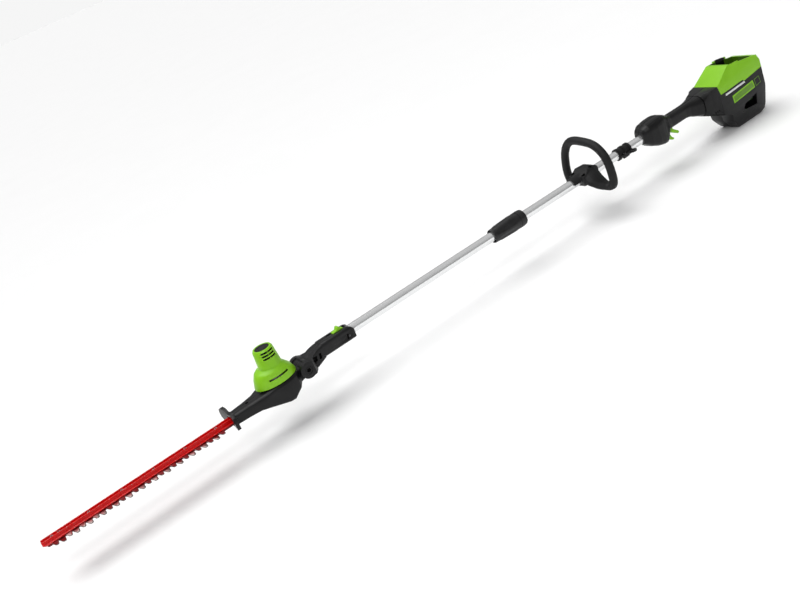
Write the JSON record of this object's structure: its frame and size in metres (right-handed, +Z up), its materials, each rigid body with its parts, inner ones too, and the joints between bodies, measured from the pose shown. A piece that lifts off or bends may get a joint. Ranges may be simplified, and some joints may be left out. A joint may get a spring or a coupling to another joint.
{
  "type": "pole hedge trimmer",
  "caption": "Battery pole hedge trimmer with a pivoting toothed cutting head, two-piece aluminium pole, loop handle, strap clip, trigger grip and a battery housing.",
  "frame": {"origin": "bottom centre of the bounding box: level with the underside of the battery housing, midway along the tool, in its plane of symmetry", "axes": "+X along the pole from the blade tip to the battery housing, +Z up when the tool is held level, +Y to the right of the operator"},
  "size_m": [2.503, 0.2235, 0.25],
  "materials": {
    "green_plastic": "satin moulded lime green",
    "black_plastic": "fine textured black",
    "black_rubber": "soft matt black overmould",
    "red_paint": "bright red gloss paint",
    "blade_coat": "dark red coated blade with ground edges",
    "pole_aluminium": "satin anodised",
    "steel": "zinc plated",
    "copper_winding": "enamelled winding",
    "silver_trim": "silver painted trim",
    "circuit_board": "green circuit board"
  },
  "bodies": {
    "pole": {"lower_pole": "pole_aluminium", "upper_pole": "pole_aluminium", "coupler_collar": "steel", "lower_cable": "black_rubber", "upper_cable": "black_rubber", "neck_left": "black_plastic", "neck_right": "black_plastic", "hinge_bolt": "steel", "hinge_nut": "steel", "neck_screw": "steel", "pole_set_screw": "steel", "lock_spring": "steel", "grip_left": "black_plastic", "grip_right": "black_plastic", "trigger_switch": "black_plastic", "housing_left": "black_plastic", "housing_right": "black_plastic", "bay_cover": "green_plastic", "terminal_block": "black_plastic", "controller_board": "circuit_board", "side_badge_left": "green_plastic", "side_badge_right": "green_plastic", "side_stripe_left": "silver_trim", "side_stripe_right": "silver_trim"},
    "head": {"blade_rail": "red_paint", "rail_screw_1": "steel", "rail_screw_2": "steel", "rail_screw_3": "steel", "rail_screw_4": "steel", "rail_screw_5": "steel", "rail_screw_6": "steel", "rail_screw_7": "steel", "blade_guard": "black_plastic", "head_shell_left": "black_plastic", "head_shell_right": "black_plastic", "motor_cover": "green_plastic", "motor_cap": "black_plastic", "motor_frame": "steel", "motor_stator": "copper_winding", "rotor_bearing": "steel", "crank_axle": "steel", "gear_plate": "steel"},
    "rotor": {"motor_rotor": "steel"},
    "crank": {"crank_gear": "steel"},
    "upper_blade": {"blade_upper": "blade_coat"},
    "lower_blade": {"blade_lower": "blade_coat"},
    "release": {"release_slider": "green_plastic", "lock_bar": "steel"},
    "coupler": {"coupler_sleeve": "black_rubber"},
    "loop": {"loop_handle": "black_rubber", "loop_clamp": "black_plastic", "loop_bolt_1": "steel", "loop_bolt_2": "steel", "loop_bolt_3": "steel"},
    "strap": {"strap_clip": "black_plastic", "strap_screw": "steel"},
    "trigger_lever": {"trigger": "green_plastic"},
    "lock_off": {"lock_lever": "green_plastic"},
    "latch": {"battery_latch": "black_plastic"}
  },
  "joints": [
    {"name": "head_pivot", "type": "hinge", "parent": "pole", "child": "head", "pos_m": [-0.511, 0, 0.12], "axis": [0, 1, 0], "range_deg": [-90, 45]},
    {"name": "rotor_spin", "type": "hinge", "parent": "head", "child": "rotor", "pos_m": [-0.584, 0, 0.136], "axis": [0, 0, 1], "continuous": true},
    {"name": "crank_spin", "type": "hinge", "parent": "head", "child": "crank", "pos_m": [-0.611, 0, 0.136], "axis": [0, 0, 1], "continuous": true},
    {"name": "blade_upper_slide", "type": "slide", "parent": "head", "child": "upper_blade", "axis": [1, 0, 0], "range_m": [-0.008, 0.008]},
    {"name": "blade_lower_slide", "type": "slide", "parent": "head", "child": "lower_blade", "axis": [1, 0, 0], "range_m": [-0.008, 0.008]},
    {"name": "release_slide", "type": "slide", "parent": "pole", "child": "release", "axis": [1, 0, 0], "range_m": [0, 0.007], "stiffness_N_per_m": 900, "springref_m": -0.004, "deforming": ["lock_spring"]},
    {"name": "coupler_turn", "type": "hinge", "parent": "pole", "child": "coupler", "pos_m": [0.2, 0, 0.136], "axis": [1, 0, 0], "range_deg": [0, 360]},
    {"name": "handle_slide", "type": "slide", "parent": "pole", "child": "loop", "axis": [1, 0, 0], "range_m": [-0.15, 0.04]},
    {"name": "strap_slide", "type": "slide", "parent": "pole", "child": "strap", "axis": [1, 0, 0], "range_m": [-0.03, 0.025]},
    {"name": "trigger_pull", "type": "hinge", "parent": "pole", "child": "trigger_lever", "pos_m": [0.83, 0, 0.106], "axis": [0, -1, 0], "range_deg": [0, 10], "stiffness_Nm_per_rad": 0.6, "springref_deg": -17.19},
    {"name": "lock_lever_press", "type": "hinge", "parent": "pole", "child": "lock_off", "pos_m": [0.863, 0, 0.116], "axis": [0, -1, 0], "range_deg": [0, 15], "stiffness_Nm_per_rad": 0.4, "springref_deg": -17.19},
    {"name": "latch_press", "type": "hinge", "parent": "pole", "child": "latch", "pos_m": [1.173, 0.0446, 0.176], "axis": [-1, 0, 0], "range_deg": [0, 10], "stiffness_Nm_per_rad": 0.8, "springref_deg": -17.19}
  ],
  "couplings": [
    {"joint": "crank_spin", "follows": "rotor_spin", "ratio": -0.29412},
    {"joint": "blade_lower_slide", "follows": "blade_upper_slide", "ratio": -1}
  ]
}
